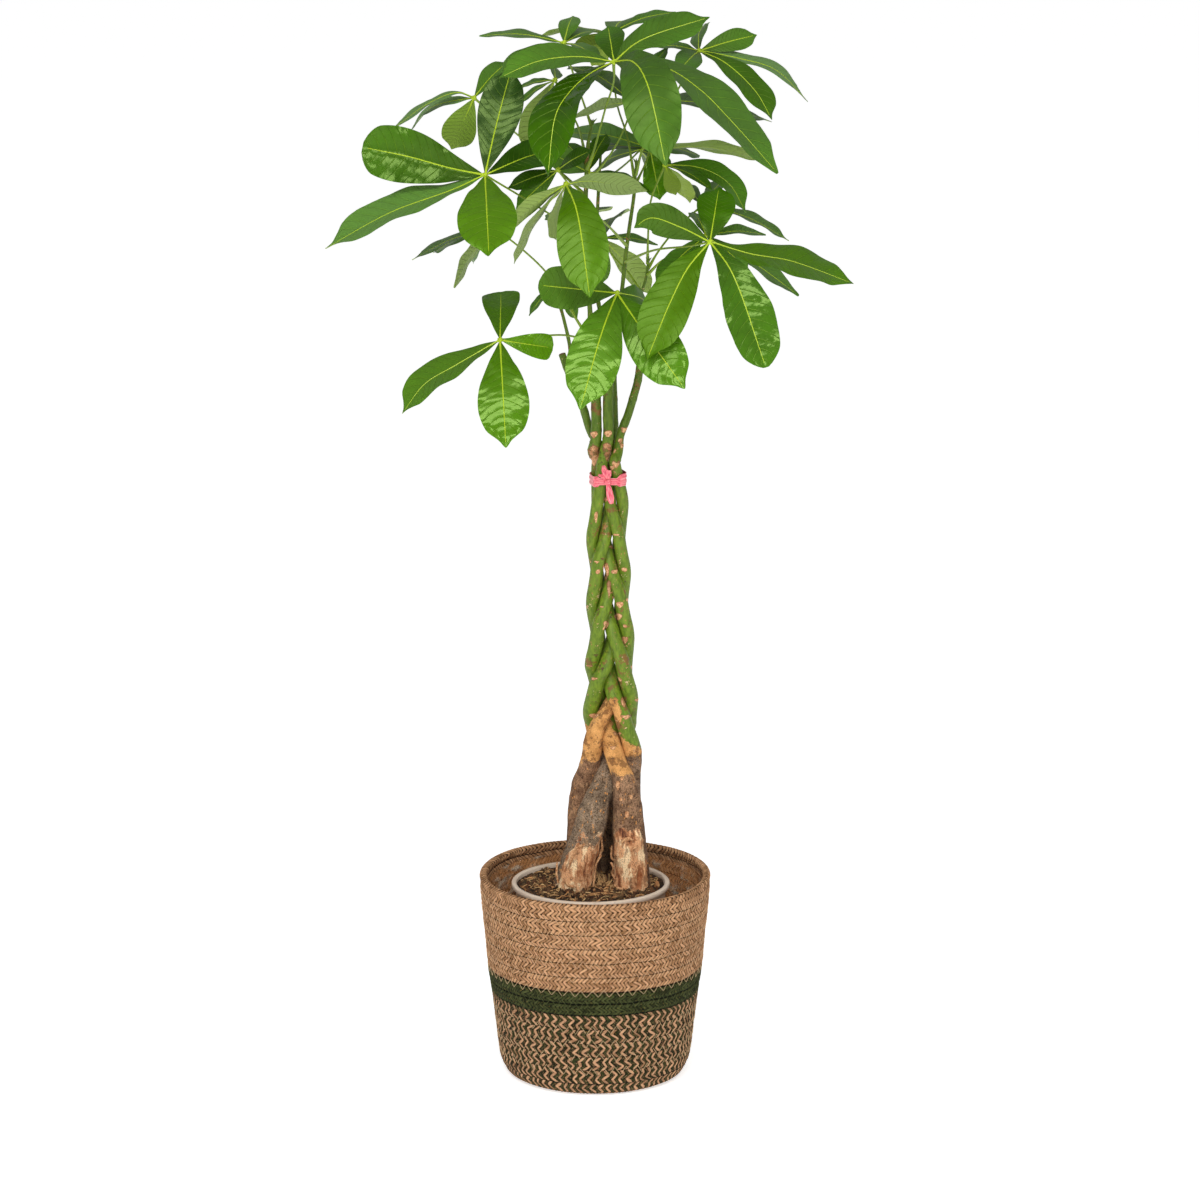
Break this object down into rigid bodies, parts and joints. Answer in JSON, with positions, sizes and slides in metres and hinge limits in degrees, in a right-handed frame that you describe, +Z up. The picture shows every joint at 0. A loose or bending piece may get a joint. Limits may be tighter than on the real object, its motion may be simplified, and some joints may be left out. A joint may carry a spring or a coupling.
{
  "type": "potted money tree",
  "caption": "Braided money tree with palmate leaves, standing in a nursery pot inside a round sewn rope basket with a dark green band.",
  "frame": {"origin": "middle of the basket's flat underside", "axes": "+Z up along the tree, -Y towards the pictured front, +X to the right of it"},
  "size_m": [0.5407, 0.4604, 1.1478],
  "materials": {
    "natural_rope": "matt sewn cotton and jute rope, natural tan",
    "green_rope": "matt sewn rope, dark green",
    "two_tone_rope": "matt sewn rope, tan and dark green in a herringbone",
    "clear_film": "thin clear glossy film",
    "grey_plastic": "thin satin taupe-grey nursery plastic",
    "potting_soil": "crumbly dark potting soil with bark fibres",
    "bark": "brown peeling bark below, smooth green bark above",
    "pink_ribbon": "thin soft plastic tying ribbon, pink",
    "leaf": "glossy green above, paler and duller below"
  },
  "bodies": {
    "root": {"basket_base": "two_tone_rope", "basket_lower_wall": "two_tone_rope", "basket_green_band": "green_rope", "basket_upper_wall": "natural_rope", "liner": "clear_film", "nursery_pot": "grey_plastic", "soil": "potting_soil", "trunk_front_left": "bark", "trunk_front_right": "bark", "trunk_left": "bark", "trunk_right": "bark", "trunk_back": "bark", "tie": "pink_ribbon", "leaf_a": "leaf", "leaf_b": "leaf", "leaf_c": "leaf", "leaf_d": "leaf", "leaf_e": "leaf", "leaf_f": "leaf", "leaf_g": "leaf", "leaf_h": "leaf", "leaf_i": "leaf", "leaf_j": "leaf", "leaf_k": "leaf", "leaf_l": "leaf", "leaf_m": "leaf", "leaf_n": "leaf", "leaf_o": "leaf", "leaf_p": "leaf", "leaf_q": "leaf", "leaf_r": "leaf", "leaf_s": "leaf", "leaf_t": "leaf", "leaf_u": "leaf", "leaf_v": "leaf", "leaf_w": "leaf"}
  },
  "joints": []
}
